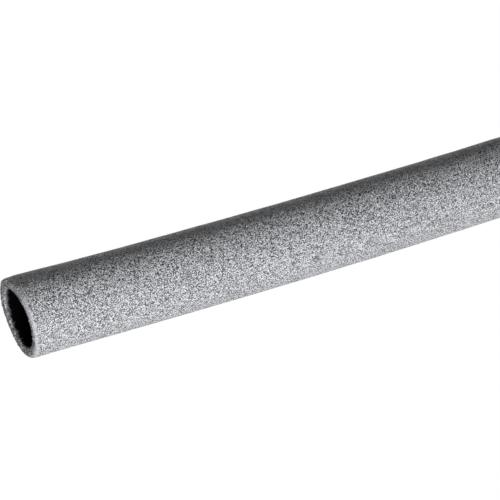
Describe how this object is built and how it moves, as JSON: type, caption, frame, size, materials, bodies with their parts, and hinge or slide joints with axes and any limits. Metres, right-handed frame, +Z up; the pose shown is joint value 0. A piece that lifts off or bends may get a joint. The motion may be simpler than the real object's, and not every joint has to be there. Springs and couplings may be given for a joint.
{
  "type": "pipe insulation lagging",
  "caption": "Thin-walled round tube of soft grey closed-cell foam that sleeves a heating or water pipe, open at both cut ends and lying on its side.",
  "frame": {"origin": "bottom centre of the tube's bounding box, on the floor that it lies on", "axes": "+X along the straight stretch of the tube, away from the cut end that the picture shows; +Z up; +Y to the side that the bowed end leans to"},
  "size_m": [1.0008, 0.0384, 0.03],
  "materials": {
    "foam": "soft closed-cell polyethylene foam with a fine pebbled skin"
  },
  "bodies": {
    "root": {"foam_tube": "foam"}
  },
  "joints": []
}
